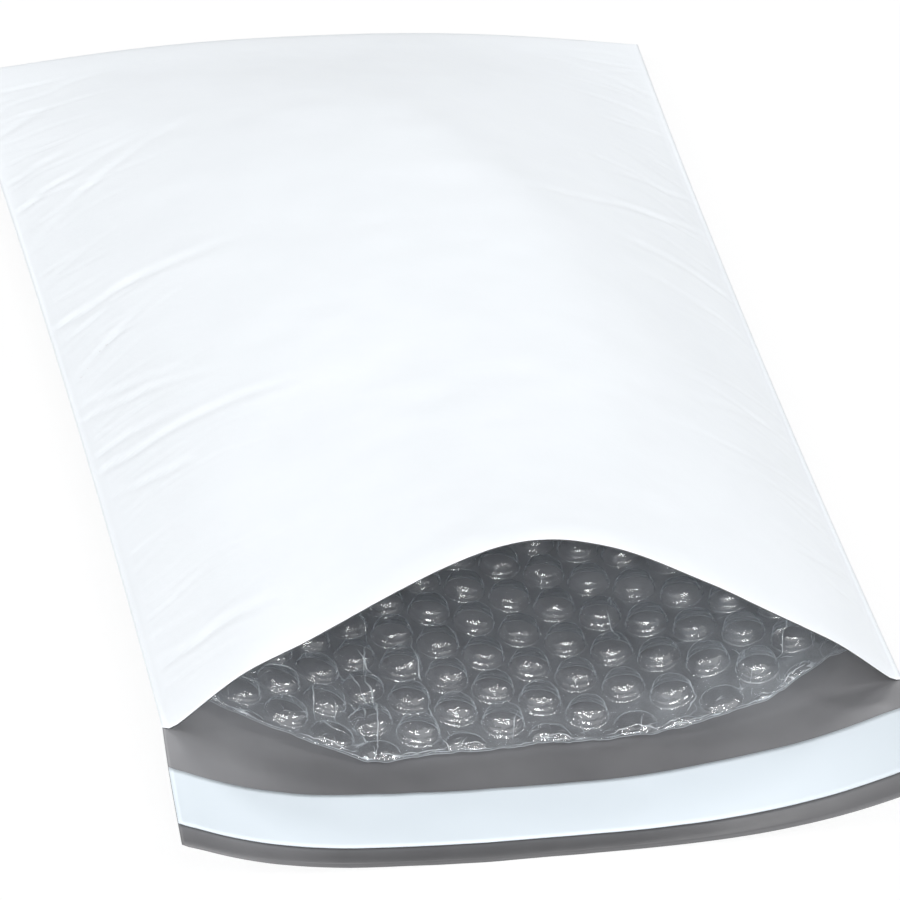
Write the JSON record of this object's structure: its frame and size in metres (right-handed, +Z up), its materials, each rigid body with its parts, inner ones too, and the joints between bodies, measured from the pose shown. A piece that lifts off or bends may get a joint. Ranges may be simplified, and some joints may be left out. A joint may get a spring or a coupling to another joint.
{
  "type": "padded envelope",
  "caption": "Self-seal padded mailing envelope of white film with a clear bubble lining, its mouth open and a release liner across the flap.",
  "frame": {"origin": "middle of the footprint, on the surface that the back panel lies on", "axes": "+Y towards the folded end, -Y towards the open mouth and flap, +X across the width, +Z up"},
  "size_m": [0.1826, 0.314, 0.0566],
  "materials": {
    "outer_film": "satin",
    "lining_film": "clear",
    "adhesive": "satin",
    "release_liner": "satin"
  },
  "bodies": {
    "root": {"outer_film": "outer_film", "lining_backing_film": "lining_film", "lining_bubble_film": "lining_film", "adhesive_strip": "adhesive", "release_liner": "release_liner"}
  },
  "joints": []
}
